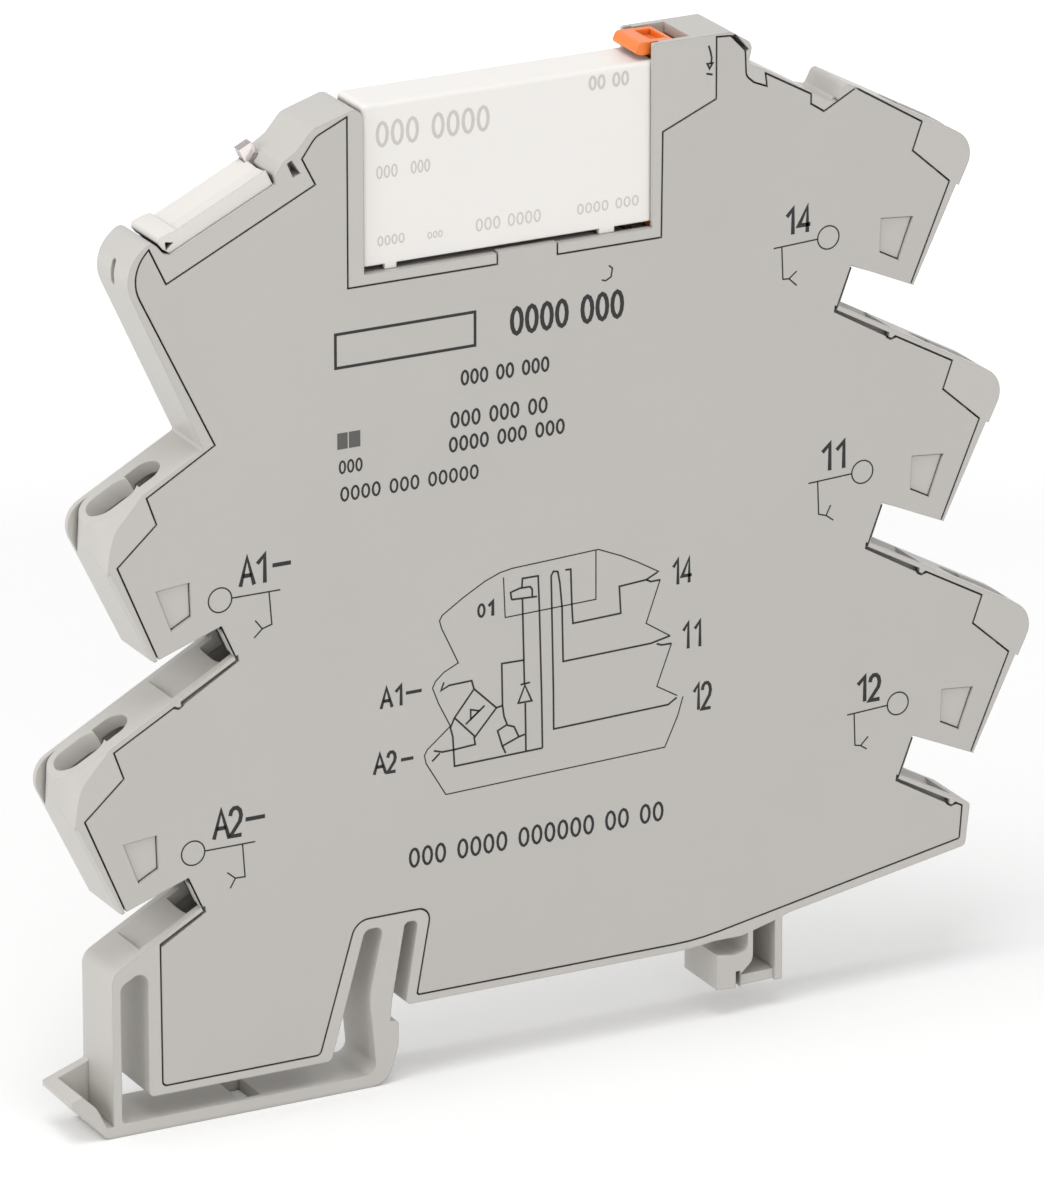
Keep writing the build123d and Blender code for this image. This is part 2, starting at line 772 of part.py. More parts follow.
coil_tail_z = relay_bottom + 0.6
case_nubs = ((relay_left + 2.6, 1.1), (relay_right - 4.8, 1.45))


def make_relay_case():
    outer = block(relay_left, relay_right, -relay_thick / 2, relay_thick / 2, relay_bottom, relay_top)
    outer = fillet(outer.edges().filter_by(Axis.Z) + outer.edges().group_by(Axis.Z)[-1], 0.4)
    inner = block(case_inner_left, case_inner_right, -cavity_half, cavity_half,
                  relay_bottom, relay_top_inner)
    case = outer - inner
    for x, width in case_nubs:
        for y in (relay_shell / 2 - relay_thick / 2, relay_thick / 2 - relay_shell / 2):
            case += Pos(x, y, relay_bottom - standoff / 2) * Box(width, relay_shell, standoff)
    return case


def make_relay_base(cutters):
    base = block(case_inner_left, case_inner_right, -cavity_half, cavity_half, relay_bottom, base_top)
    for cutter in cutters:
        base -= cutter
    return base


def make_bobbin():
    tube = block(coil_left, coil_right, -0.95, 0.95, coil_axis - tube_half, coil_axis + tube_half)
    for x in (coil_left, coil_right - flange_thick):
        tube += block(x, x + flange_thick, -flange_half, flange_half,
                      yoke_bottom + yoke_thick + 0.02, card_low - 0.1)
    hole = core_half + 0.02
    return tube - block(coil_left - 1, coil_right + 1, -0.52, 0.52, coil_axis - hole, coil_axis + hole)


def make_winding():
    x0 = coil_left + flange_thick + 0.02
    x1 = coil_right - flange_thick - 0.02
    outer = block(x0, x1, -1.85, 1.85, coil_axis - winding_half, coil_axis + winding_half)
    outer = fillet(outer.edges().filter_by(Axis.X), 1.4)
    hole = tube_half + 0.02
    return outer - block(x0 - 1, x1 + 1, -0.97, 0.97, coil_axis - hole, coil_axis + hole)


def make_core():
    return block(relay_left + 1.62, core_end, -0.5, 0.5, coil_axis - core_half, coil_axis + core_half)


def make_yoke():
    profile = face(
        (relay_left + 0.6, yoke_bottom),
        (armature_left - 0.3, yoke_bottom),
        (armature_left - 0.3, yoke_bottom + yoke_thick),
        (relay_left + 1.6, yoke_bottom + yoke_thick),
        (relay_left + 1.6, coil_axis + 4.4),
        (relay_left + 0.6, coil_axis + 4.4),
    )
    return slab(profile, -yoke_half, yoke_half)


def make_armature():
    x1 = armature_left + armature_thick
    plate = block(armature_left, x1, -1.7, 1.7, hinge_z - 0.3, card_low - 0.15)
    return plate + block(armature_left, x1, -0.6, 0.6, card_low - 0.2, armature_top)


def make_card():
    """Actuating card: one slot holds the armature's tip, the other the moving blade's tip."""
    card = block(armature_left - 0.5, pin_com + 0.9, -1.5, 1.5, card_low, card_high)
    x1 = armature_left + armature_thick
    card -= block(armature_left - 0.12, x1 + 0.12, -0.7, 0.7, card_low - 0.1, card_high + 0.1)
    half = blade_half + 0.1
    return card - block(pin_com - half, pin_com + half, -0.7, 0.7, card_low - 0.1, card_high + 0.1)


def make_moving_contact():
    x0 = pin_com - blade_half
    x1 = pin_com + blade_half
    blade = block(x0, x1, -1.25, 1.25, base_top + 0.35, card_low - 0.25)
    blade += block(x0, x1, -0.6, 0.6, card_low - 0.3, card_high - 0.2)
    button = Plane.YZ.offset(pin_com - button_half) * Pos(0, contact_z) * Circle(contact_radius)
    return blade + extrude(button, amount=2 * button_half)


def pin(x, top):
    return block(x - pin_thick / 2, x + pin_thick / 2, -pin_wide / 2, pin_wide / 2, pin_tip, top)


def make_common_terminal():
    foot = block(pin_com - 0.45, pin_com + 0.45, -1.25, 1.25, base_top - 0.7, base_top + 0.3)
    return foot + pin(pin_com, base_top)


def make_fixed_contact(x, pin_x, direction):
    """Fixed contact leaf on one side of the moving blade, with its pin."""
    x0 = min(x, x + direction * contact_leaf)
    x1 = max(x, x + direction * contact_leaf)
    part = block(x0, x1, -1.25, 1.25, base_top - 0.4, contact_z + 1.2)
    part += block(min(x0, pin_x - 0.25), max(x1, pin_x + 0.25), -1.25, 1.25, base_top - 0.4, base_top)
    part += pin(pin_x, base_top)
    start = x - button_proud if direction > 0 else x
    button = Plane.YZ.offset(start) * Pos(0, contact_z) * Circle(contact_radius)
    return part + extrude(button, amount=button_proud)


def make_coil_pin(x):
    """Coil pin with a tail that rises beside the yoke to the winding's end."""
    x1 = x + 0.8
    foot = block(x - pin_thick / 2, x1, -pin_wide / 2, cavity_half - 0.02, coil_tail_z, coil_tail_z + 0.4)
    tail = block(x1 - 0.45, x1, yoke_half + 0.1, cavity_half - 0.02, coil_tail_z, coil_axis - 4.0)
    return pin(x, coil_tail_z + 0.4) + foot + tail


def make_relay():
    """All pieces of the plug-in relay."""
    nodes = {
        "relay_case": make_relay_case(),
        "relay_bobbin": make_bobbin(),
        "relay_winding": make_winding(),
        "relay_core": make_core(),
        "relay_yoke": make_yoke(),
        "relay_armature": make_armature(),
        "relay_card": make_card(),
        "relay_moving_contact": make_moving_contact(),
    }
    metal = {
        "relay_coil_pin_left": make_coil_pin(coil_pin_left),
        "relay_coil_pin_right": make_coil_pin(coil_pin_right),
        "relay_common_terminal": make_common_terminal(),
        "relay_contact_no": make_fixed_contact(no_face, pin_no, -1),
        "relay_contact_nc": make_fixed_contact(nc_face, pin_nc, 1),
    }
    nodes["relay_base"] = make_relay_base(metal.values())
    return nodes | metal


def build():
    nodes = {
        "housing": make_housing(),
        "side_cover": make_cover(),
        "ejector_lever": make_lever(),
        "marker_carrier": make_marker(),
        "light_guide": make_light_guide(),
        "circuit_board": make_board(),
        "bridge_rectifier": make_rectifier(),
        "suppressor_diode": make_diode(),
        "series_resistor": make_resistor(),
        "status_led": make_led(),
        "coil_contact_left": make_coil_contact(coil_pin_left),
        "coil_contact_right": make_coil_contact(coil_pin_right),
    }
    for name, (side, level) in terminals.items():
        nodes["clamp_spring_" + name] = make_clamp_spring(side, level)
    for name, bar in make_current_bars().items():
        nodes["current_bar_" + name] = bar
    return nodes | make_relay()


if __name__ == "__main__":
    os.makedirs("parts", exist_ok=True)
    for name, solid in build().items():
        export_step(solid, "parts/" + name + ".step")
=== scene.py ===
import math

import bmesh
import bpy
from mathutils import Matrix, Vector


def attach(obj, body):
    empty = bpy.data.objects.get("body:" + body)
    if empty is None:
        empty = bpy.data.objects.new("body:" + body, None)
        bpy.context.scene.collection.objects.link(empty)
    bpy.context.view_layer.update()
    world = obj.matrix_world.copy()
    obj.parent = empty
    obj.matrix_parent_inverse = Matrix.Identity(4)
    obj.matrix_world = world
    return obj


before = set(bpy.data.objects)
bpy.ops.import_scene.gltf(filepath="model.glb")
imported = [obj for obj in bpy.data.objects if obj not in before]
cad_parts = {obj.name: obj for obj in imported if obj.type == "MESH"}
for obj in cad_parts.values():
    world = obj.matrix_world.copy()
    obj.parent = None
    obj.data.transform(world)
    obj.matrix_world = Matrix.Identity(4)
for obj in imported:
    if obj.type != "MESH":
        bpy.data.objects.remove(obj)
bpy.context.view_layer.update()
MM = 0.001

# Near faces of the module and of its relay, and the floor, in millimetres
NEAR = -3.0
RELAY_NEAR = -2.5
FLOOR = -7.1

# Print: height of the ink over its face and its depth in it, in millimetres, and the
# smallest share of a line's half width that a mitred corner is worked out from
INK = 0.012
INK_ROOT = 0.004
MITRE_LIMIT = 0.5

# Rows of zeros: gap between words and half width of a zero as shares of the room for one
# zero, and half height of a zero as a share of half the row's height
WORD_GAP = 0.7
ZERO_ACROSS = 0.33
ZERO_UP = 0.93

# Widths of printed lines, in millimetres
HAIR = 0.11
THIN = 0.13
LINE = 0.17
SMALL_MARK = 0.3
MARK = 0.37
HOOK = 0.14
ARROW = 0.18

# Height of the plastics' grain and of the metals' rolling lines, and how deep light goes
# into the soft plastics in red, green and blue, all in metres
GRAIN_HEIGHT = 0.00005
ROLLED_HEIGHT = 0.00002
SKIN = (0.0012, 0.0009, 0.0007)

# Painted shade in the plastics' nooks: openness to the air at which the painted shade is darkest, openness
# from which they are as pale as the rest, and the darkest share of the colour
PAINTED_SHADE_SHUT = 0.14
PAINTED_SHADE_OPEN = 0.5
PAINTED_SHADE_SHARE = 0.05

# Lamp powers in watts, and strength of the surroundings
OVERHEAD = 3.0
LEFT = 3.0
FRONT = 2.0
AMBIENT = 0.58

# Floor: side in metres and colour, then its glow to the eye by the module and far away,
# and the distances in metres between which that glow rises
FLOOR_SIZE = 6
PAPER = (0.95, 0.95, 0.95, 1)
GLOW_NEAR = 0.08
GLOW_FAR = 1.0
GLOW_FROM = 0.14
GLOW_TO = 0.6


# Materials


def node(tree, kind, **values):
    """New shader node with some of its properties or sockets set."""
    made = tree.nodes.new(kind)
    for key, value in values.items():
        if hasattr(made, key):
            setattr(made, key, value)
        else:
            made.inputs[key.replace("_", " ")].default_value = value
    return made


def rgb(r, g, b):
    """Linear colour from screen values of 0 to 255."""
    def line(c):
        c /= 255
        return c / 12.92 if c <= 0.04045 else ((c + 0.055) / 1.055) ** 2.4
    return (line(r), line(g), line(b), 1.0)


def scaled(colour, share):
    """The colour made darker or lighter, with its alpha kept at one."""
    return [min(1.0, c * share) for c in colour[:3]] + [1.0]


def blank(name):
    """New material with its nodes and its shader."""
    mat = bpy.data.materials.new(name)
    mat.use_nodes = True
    return mat, mat.node_tree, mat.node_tree.nodes["Principled BSDF"]


def plastic(name, colour, rough, mottle=0.015, grain=0.05, edge=0.12, painted_shade_reach=0.0, sss=0.0):
    """Moulded plastic with flow mottling and fine grain, edges softened over edge millimetres.

    Where a reach for painted shade is set, nooks narrower than that many millimetres are painted nearly
    black as shade.
    """
    mat, tree, shader = blank(name)
    link = tree.links.new
    place = node(tree, "ShaderNodeTexCoord")
    flow = node(tree, "ShaderNodeTexNoise", Scale=55.0, Detail=4.0, Roughness=0.55)
    fine = node(tree, "ShaderNodeTexNoise", Scale=4200.0, Detail=3.0, Roughness=0.6)
    link(place.outputs["Object"], flow.inputs["Vector"])
    link(place.outputs["Object"], fine.inputs["Vector"])
    ramp = node(tree, "ShaderNodeValToRGB")
    ramp.color_ramp.elements[0].position = 0.3
    ramp.color_ramp.elements[0].color = scaled(colour, 1 - mottle)
    ramp.color_ramp.elements[1].position = 0.7
    ramp.color_ramp.elements[1].color = scaled(colour, 1 + mottle)
    link(flow.outputs["Fac"], ramp.inputs["Fac"])
    # Painted shade: nooks that the occlusion node finds shut get their base colour darkened towards nearly
    # black
    if painted_shade_reach:
        painted_shade_ao = node(tree, "ShaderNodeAmbientOcclusion", samples=4, Distance=painted_shade_reach * MM)
        depth = node(tree, "ShaderNodeMapRange", From_Min=PAINTED_SHADE_SHUT, From_Max=PAINTED_SHADE_OPEN)
        painted_shade_mix = node(tree, "ShaderNodeMix", data_type="RGBA", blend_type="MIX")
        painted_shade_mix.inputs["A"].default_value = scaled(colour, PAINTED_SHADE_SHARE)
        link(painted_shade_ao.outputs["AO"], depth.inputs["Value"])
        link(depth.outputs["Result"], painted_shade_mix.inputs["Factor"])
        link(ramp.outputs["Color"], painted_shade_mix.inputs["B"])
        link(painted_shade_mix.outputs["Result"], shader.inputs["Base Color"])
    else:
        link(ramp.outputs["Color"], shader.inputs["Base Color"])
    gloss = node(tree, "ShaderNodeMapRange", To_Min=rough - 0.06, To_Max=rough + 0.06)
    link(fine.outputs["Fac"], gloss.inputs["Value"])
    link(gloss.outputs["Result"], shader.inputs["Roughness"])
    soft = node(tree, "ShaderNodeBevel", samples=4, Radius=edge * MM)
    bump = node(tree, "ShaderNodeBump", Strength=grain, Distance=GRAIN_HEIGHT)
    link(fine.outputs["Fac"], bump.inputs["Height"])
    link(soft.outputs["Normal"], bump.inputs["Normal"])
    link(bump.outputs["Normal"], shader.inputs["Normal"])
    shader.inputs["IOR"].default_value = 1.5
    if sss:
        shader.inputs["Subsurface Weight"].default_value = sss
        shader.inputs["Subsurface Radius"].default_value = SKIN
    return mat


def metal(name, colour, rough, scratch=0.15):
    """Rolled strip: fine lines along its length in gloss and height."""
    mat, tree, shader = blank(name)
    link = tree.links.new
    shader.inputs["Metallic"].default_value = 1.0
    place = node(tree, "ShaderNodeTexCoord")
    stretch = node(tree, "ShaderNodeMapping", Scale=(600.0, 9000.0, 600.0))
    lines = node(tree, "ShaderNodeTexNoise", Scale=1.0, Detail=4.0, Roughness=0.7)
    link(place.outputs["Object"], stretch.inputs["Vector"])
    link(stretch.outputs["Vector"], lines.inputs["Vector"])
    ramp = node(tree, "ShaderNodeValToRGB")
    ramp.color_ramp.elements[0].color = scaled(colour, 0.85)
    ramp.color_ramp.elements[1].color = colour
    link(lines.outputs["Fac"], ramp.inputs["Fac"])
    link(ramp.outputs["Color"], shader.inputs["Base Color"])
    gloss = node(tree, "ShaderNodeMapRange", To_Min=rough - 0.08, To_Max=rough + 0.12)
    link(lines.outputs["Fac"], gloss.inputs["Value"])
    link(gloss.outputs["Result"], shader.inputs["Roughness"])
    bump = node(tree, "ShaderNodeBump", Strength=scratch, Distance=ROLLED_HEIGHT)
    link(lines.outputs["Fac"], bump.inputs["Height"])
    link(bump.outputs["Normal"], shader.inputs["Normal"])
    return mat


def clear(name, colour, rough):
    """Clear moulding with slightly uneven gloss."""
    mat, tree, shader = blank(name)
    shader.inputs["Base Color"].default_value = colour
    shader.inputs["Transmission Weight"].default_value = 0.75
    shader.inputs["IOR"].default_value = 1.49
    noise = node(tree, "ShaderNodeTexNoise", Scale=2500.0, Detail=2.0)
    gloss = node(tree, "ShaderNodeMapRange", To_Min=rough - 0.04, To_Max=rough + 0.08)
    tree.links.new(noise.outputs["Fac"], gloss.inputs["Value"])
    tree.links.new(gloss.outputs["Result"], shader.inputs["Roughness"])
    return mat


grey = plastic("grey_moulding", rgb(193, 190, 185), 0.42, edge=0.16, painted_shade_reach=0.8)
cover_grey = plastic("cover_moulding", rgb(189, 186, 181), 0.44, edge=0.14, painted_shade_reach=0.5)
white = plastic("white_moulding", rgb(224, 220, 215), 0.4, mottle=0.012, edge=0.16, painted_shade_reach=0.9, sss=0.08)
relay_white = plastic("relay_white", rgb(239, 236, 232), 0.38, mottle=0.01, edge=0.2, painted_shade_reach=0.5, sss=0.1)
orange = plastic("orange_moulding", rgb(247, 128, 46), 0.3, mottle=0.03, edge=0.2, painted_shade_reach=1.0, sss=0.12)
black = plastic("black_moulding", rgb(32, 32, 34), 0.45, mottle=0.1)
natural = plastic("natural_moulding", rgb(226, 214, 184), 0.4, sss=0.2)
board_green = plastic("board_lacquer", rgb(28, 96, 58), 0.32, mottle=0.08, grain=0.08)
led_clear = clear("lamp_lens", rgb(226, 240, 214), 0.1)
guide_clear = clear("guide_clear", rgb(252, 244, 243), 0.12)
steel = metal("spring_steel", rgb(196, 194, 190), 0.28)
tinned = metal("tinned_copper", rgb(214, 206, 192), 0.34)
copper = metal("coil_wire", rgb(190, 104, 58), 0.3)
iron = metal("magnet_iron", rgb(150, 148, 146), 0.42)
bronze = metal("spring_bronze", rgb(204, 160, 104), 0.3)
ink = plastic("print_ink", rgb(26, 25, 26), 0.6, mottle=0.2, grain=0.02, edge=0.004)
field_ink = plastic("print_ink_field", rgb(88, 86, 84), 0.5, mottle=0.1, grain=0.02, edge=0.004)
pale_ink = plastic("print_ink_pale", rgb(203, 199, 195), 0.5, mottle=0.05, grain=0.02, edge=0.004)

finish_of = {
    "housing": grey,
    "side_cover": cover_grey,
    "marker_carrier": white,
    "light_guide": guide_clear,
    "circuit_board": board_green,
    "bridge_rectifier": black,
    "suppressor_diode": black,
    "series_resistor": black,
    "status_led": led_clear,
    "ejector_lever": orange,
    "relay_case": relay_white,
    "relay_base": black,
    "relay_bobbin": black,
    "relay_winding": copper,
    "relay_core": iron,
    "relay_yoke": iron,
    "relay_armature": iron,
    "relay_card": natural,
    "relay_moving_contact": bronze,
    "relay_contact_no": bronze,
    "relay_contact_nc": bronze,
}


def finish_for(name):
    """Material of a CAD node by its name."""
    if name in finish_of:
        return finish_of[name]
    if name.startswith("clamp_spring"):
        return steel
    return tinned


for name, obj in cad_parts.items():
    for slot in obj.material_slots:
        slot.link = "OBJECT"
        slot.material = finish_for(name)


# Print on the near face, in millimetres along and up the module


def film(bm, points, width, face):
    """Closed film of ink along a line of points, mitred at its bends."""
    pts = [Vector(p) for p in points]
    closed = (pts[0] - pts[-1]).length < 1e-6
    if closed:
        pts.pop()
    count = len(pts)
    top = face - INK
    root = face + INK_ROOT
    stations = []
    for i, p in enumerate(pts):
        before = (p - pts[i - 1]).normalized() if i or closed else (pts[1] - p).normalized()
        after = (pts[(i + 1) % count] - p).normalized() if i < count - 1 or closed else before
        mean = before + after
        mean = mean.normalized() if mean.length > 0.01 else before
        across = Vector((-mean.y, mean.x))
        reach = width / 2 / max(MITRE_LIMIT, across.dot(Vector((-before.y, before.x))))
        stations.append([
            bm.verts.new(((p.x + s * across.x * reach) * MM, y * MM, (p.y + s * across.y * reach) * MM))
            for s, y in ((1, top), (-1, top), (-1, root), (1, root))
        ])
    pairs = list(zip(stations, stations[1:]))
    if closed:
        pairs.append((stations[-1], stations[0]))
    else:
        bm.faces.new(stations[0])
        bm.faces.new(stations[-1][::-1])
    for one, two in pairs:
        for k in range(4):
            bm.faces.new((one[k], two[k], two[(k + 1) % 4], one[(k + 1) % 4]))


def oval(x, z, across, up, steps=28):
    """Closed line round a centre, from its half width and half height."""
    turns = [2 * math.pi * i / steps for i in range(steps)]
    loop = [(x + across * math.cos(t), z + up * math.sin(t)) for t in turns]
    return loop + loop[:1]


def zeros(x_low, x_high, z_low, z_high, words):
    """Row of plain zeros in words of the given lengths, over the given field."""
    pitch = (x_high - x_low) / (sum(words) + WORD_GAP * (len(words) - 1))
    middle = (z_low + z_high) / 2
    up = (z_high - z_low) / 2 * ZERO_UP
    made = []
    x = x_low
    for word in words:
        for _ in range(word):
            made.append(oval(x + pitch / 2, middle, pitch * ZERO_ACROSS, up, 12))
            x += pitch
        x += WORD_GAP * pitch
    return made


def bar(x_low, x_high, z_low, z_high):
    """Two end points and the width of a filled bar."""
    middle = (z_low + z_high) / 2
    return [(x_low, middle), (x_high, middle)], z_high - z_low


# Strokes of each sign in a box one wide and one high
STROKES = {
    "A": [[(0, 0), (0.5, 1), (1, 0)], [(0.19, 0.36), (0.81, 0.36)]],
    "1": [[(0, 0.72), (1, 1), (1, 0)]],
    "2": [[(0.02, 0.74), (0.12, 0.91), (0.34, 1), (0.64, 1), (0.88, 0.89), (0.97, 0.7), (0.86, 0.5),
           (0, 0), (1, 0)]],
    "4": [[(0.74, 0), (0.74, 1), (0, 0.3), (1, 0.3)]],
    "-": [[(0, 0.5), (1, 0.5)]],
}


def glyph(sign, x_low, x_high, z_low, z_high):
    """Lines of one sign over the given field."""
    return [
        [(x_low + u * (x_high - x_low), z_low + v * (z_high - z_low)) for u, v in stroke]
        for stroke in STROKES[sign]
    ]


def printed(name, groups, mat, body="module", face=NEAR):
    """One piece of print from groups of lines, each group with its line width."""
    bm = bmesh.new()
    for lines, width in groups:
        for points in lines:
            film(bm, points, width, face)
    bmesh.ops.recalc_face_normals(bm, faces=bm.faces[:])
    mesh = bpy.data.meshes.new(name)
    bm.to_mesh(mesh)
    bm.free()
    mesh.materials.append(mat)
    obj = bpy.data.objects.new(name, mesh)
    bpy.context.scene.collection.objects.link(obj)
    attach(obj, body)


# The places below were read by eye in the photo, and a scratch script turned them into
# millimetres on the near face

# Terminal symbols: ring's centre and radius, end of the line from it, then the leg under
# that line by its top, foot and heel, and the two ends of the fork at its heel
symbols = {
    "A1": ((-33.53, 40.25), 1.1, (-27.86, 40.24), (-28.92, 40.22), (-28.68, 37.26), (-29.58, 37.0),
           (-30.25, 37.85), (-30.36, 36.3)),
    "A2": ((-36.32, 17.77), 1.1, (-30.43, 17.77), (-31.64, 17.77), (-31.43, 14.73), (-32.35, 14.76),
           (-33.11, 15.41), (-32.84, 13.91)),
    "14": ((24.93, 63.64), 1.05, (19.57, 63.44), (20.37, 63.47), (20.5, 60.52), (21.1, 60.48),
           (21.85, 61.06), (21.86, 59.76)),
    "11": ((28.55, 41.63), 1.05, (23.21, 41.43), (24.12, 41.46), (24.25, 38.43), (24.99, 38.19),
           (25.44, 39.08), (25.71, 37.65)),
    "12": ((32.39, 19.43), 1.05, (27.31, 19.22), (28.01, 19.25), (28.13, 16.25), (28.69, 16.12),
           (29.45, 16.85), (29.31, 15.7)),
}
lines = []
for centre, radius, end, top, foot, heel, fork_up, fork_down in symbols.values():
    side = radius if end[0] > centre[0] else -radius
    lines.append(oval(*centre, radius, radius))
    lines.append([(centre[0] + side, centre[1]), end])
    lines.append([top, foot, heel, fork_up])
    lines.append([heel, fork_down])
printed("terminal_symbols", [(lines, THIN)], ink)

# Marks by the terminals: sign, and its field from left to right and from low to high
terminal_marks = [
    ("A", -31.61, -30.31, 41.12, 43.64), ("1", -30.0, -29.3, 41.12, 43.64),
    ("-", -28.57, -26.83, 42.54, 42.54),
    ("A", -34.34, -32.93, 18.65, 21.18), ("2", -32.8, -31.72, 18.65, 21.18),
    ("-", -31.33, -29.48, 19.95, 19.95),
    ("1", 20.85, 21.44, 64.45, 66.75), ("4", 22.0, 23.15, 64.45, 66.75),
    ("1", 24.57, 25.3, 42.3, 44.75), ("1", 25.98, 26.69, 42.3, 44.75),
    ("1", 28.36, 29.05, 20.2, 22.5), ("2", 29.55, 30.55, 20.2, 22.5),
]
printed("terminal_marks", [(glyph(*mark), MARK) for mark in terminal_marks], ink)

# Marks beside the circuit, in the same form
circuit_marks = [
    ("1", 9.95, 10.4, 34.27, 36.54), ("4", 10.8, 11.75, 34.27, 36.54),
    ("1", 10.97, 11.45, 28.18, 30.55), ("1", 12.1, 12.6, 28.18, 30.55),
    ("1", 12.04, 12.5, 22.32, 24.69), ("2", 12.85, 13.7, 22.32, 24.69),
    ("A", -18.36, -17.3, 27.76, 29.58), ("1", -16.95, -16.44, 27.76, 29.58),
    ("-", -15.97, -14.46, 28.8, 28.8),
    ("1", -8.0, -7.6, 34.45, 35.75),
    ("A", -19.05, -17.95, 21.84, 23.65), ("2", -17.75, -17.0, 21.84, 23.65),
    ("-", -16.47, -15.28, 22.76, 22.76),
]
printed("circuit_marks", [(glyph(*mark), SMALL_MARK) for mark in circuit_marks], ink)

# Small outline of the module with the relay's box in it
outline = {
    "top, left and foot": [
        (2.61, 38.79), (-2.06, 38.59), (-5.73, 38.45), (-6.88, 38.26), (-8.34, 37.72), (-10.43, 36.59),
        (-12.47, 35.3), (-12.73, 34.85), (-12.52, 34.08), (-11.8, 32.57), (-10.93, 30.7), (-12.32, 30.07),
        (-13.12, 29.39), (-13.42, 28.8), (-12.84, 27.29), (-11.71, 25.03), (-13.93, 23.26), (-14.22, 22.76),
        (-14.05, 21.98), (-12.16, 18.81), (9.19, 19.41), (10.45, 22.12), (10.96, 23.81),
    ],
    "tip 12": [(10.39, 24.0), (8.38, 25.19), (9.8, 28.93)],
    "tip 11": [(9.66, 29.66), (7.3, 31.21), (8.64, 34.95)],
    "tip 14": [(8.55, 35.76), (6.34, 37.05), (4.85, 37.83), (2.61, 38.79)],
    "relay": [(-6.57, 37.77), (-6.41, 34.07), (2.39, 34.25), (2.38, 38.77)],
}

# Circuit of the module
circuit = {
    "loop over the coil": [
        (-4.79, 36.53), (-4.74, 37.36), (-3.22, 37.35), (-3.11, 34.65), (-2.89, 26.81),
        (-2.79, 21.45),
    ],
    "coil": [
        (-5.78, 35.6), (-5.89, 36.27), (-5.0, 36.51), (-4.0, 36.49), (-3.79, 36.21), (-3.79, 35.56),
    ],
    "foot of the coil": [(-5.78, 35.6), (-3.32, 35.48)],
    "lead of the coil": [(-4.74, 35.53), (-4.55, 27.7)],
    "contact 12": [
        (-1.33, 37.43), (-1.75, 37.5), (-1.96, 37.14), (-1.73, 26.6), (-1.7, 23.01), (9.5, 23.31),
        (10.35, 23.83),
    ],
    "contact 11": [
        (-1.33, 37.48), (-1.11, 36.3), (-0.9, 34.08), (-0.79, 29.08), (7.78, 29.28), (9.66, 29.66),
    ],
    "end of contact 11": [(8.35, 29.14), (8.82, 28.95), (9.8, 28.93)],
    "contact 14": [
        (-0.59, 37.45), (-0.06, 37.42), (0.05, 34.12), (0.16, 32.42), (4.82, 32.56), (4.67, 35.05),
        (7.29, 35.22), (8.41, 35.74),
    ],
    "end of contact 14": [(7.29, 35.22), (7.76, 34.97), (8.69, 34.99)],
    "branch": [(-4.54, 29.86), (-6.74, 29.91), (-6.67, 26.05), (-6.52, 24.99), (-6.23, 24.24)],
    "tie of the branch": [(-6.67, 26.05), (-7.26, 25.94)],
    "input 1": [(-12.32, 29.15), (-12.61, 28.44), (-11.81, 28.79), (-9.65, 28.85), (-9.42, 28.05)],
    "bridge": [(-9.42, 28.05), (-7.26, 25.94), (-9.32, 23.64), (-11.31, 25.72), (-9.42, 28.05)],
    "bar in the bridge": [(-10.23, 24.94), (-8.4, 26.35)],
    "arrow in the bridge": [(-9.75, 26.2), (-9.75, 25.3), (-8.9, 25.95), (-9.75, 26.2)],
    "input 2": [(-9.43, 23.66), (-9.32, 22.93), (-11.37, 22.8), (-12.51, 22.79), (-13.31, 23.04)],
    "end of input 2": [(-12.74, 22.72), (-13.48, 22.09)],
    "return": [(-11.31, 25.72), (-11.71, 24.87), (-11.48, 24.02), (-11.32, 21.27), (-2.79, 21.45)],
    "bar of the diode": [(-4.92, 27.65), (-4.0, 27.71)],
    "arrow of the diode": [(-4.5, 27.53), (-5.15, 26.0), (-3.83, 25.99), (-4.5, 27.53)],
    "lead of the diode": [(-4.46, 25.88), (-4.4, 21.46)],
    "suppressor": [
        (-7.15, 23.8), (-6.29, 24.19), (-5.55, 23.9), (-5.09, 22.89), (-6.69, 22.31), (-7.15, 23.8),
    ],
    "lower lead of the suppressor": [(-6.69, 22.31), (-6.37, 21.6)],
    "upper lead of the suppressor": [(-5.09, 22.89), (-4.52, 23.01)],
}
printed("circuit_outline", [(outline.values(), HAIR)], ink)
printed("circuit_diagram", [(circuit.values(), LINE)], ink)

# Rows of plain zeros with their line widths, and a blank outlined field
rows = [
    (zeros(-10.7, -2.1, 55.8, 57.1, (3, 2, 3)), 0.22),
    (zeros(-11.7, -2.25, 52.1, 53.5, (3, 3, 2)), 0.22),
    (zeros(-11.85, -0.6, 49.95, 51.25, (4, 3, 3)), 0.22),
    (zeros(-22.2, -8.87, 47.2, 48.45, (4, 3, 5)), 0.2),
    (zeros(-9.15, -8.25, 34.5, 35.7, (1,)), 0.22),
    (zeros(-22.3, -19.95, 49.7, 50.85, (3,)), 0.18),
    (zeros(-15.85, 9.2, 12.65, 14.4, (3, 4, 6, 2, 2)), 0.25),
    (zeros(-6.0, 5.1, 59.55, 62.0, (4, 3)), 0.38),
    ([[(-22.5, 59.2), (-9.27, 59.2), (-9.27, 62.2), (-22.5, 62.2), (-22.5, 59.2)]], 0.26),
]
printed("rating_rows", rows, ink)

# Two filled bars in a lighter ink
field_bars = [bar(-22.38, -21.4, 51.9, 53.35), bar(-21.28, -20.2, 51.9, 53.35)]
printed("rating_field", [([line], width) for line, width in field_bars], field_ink)

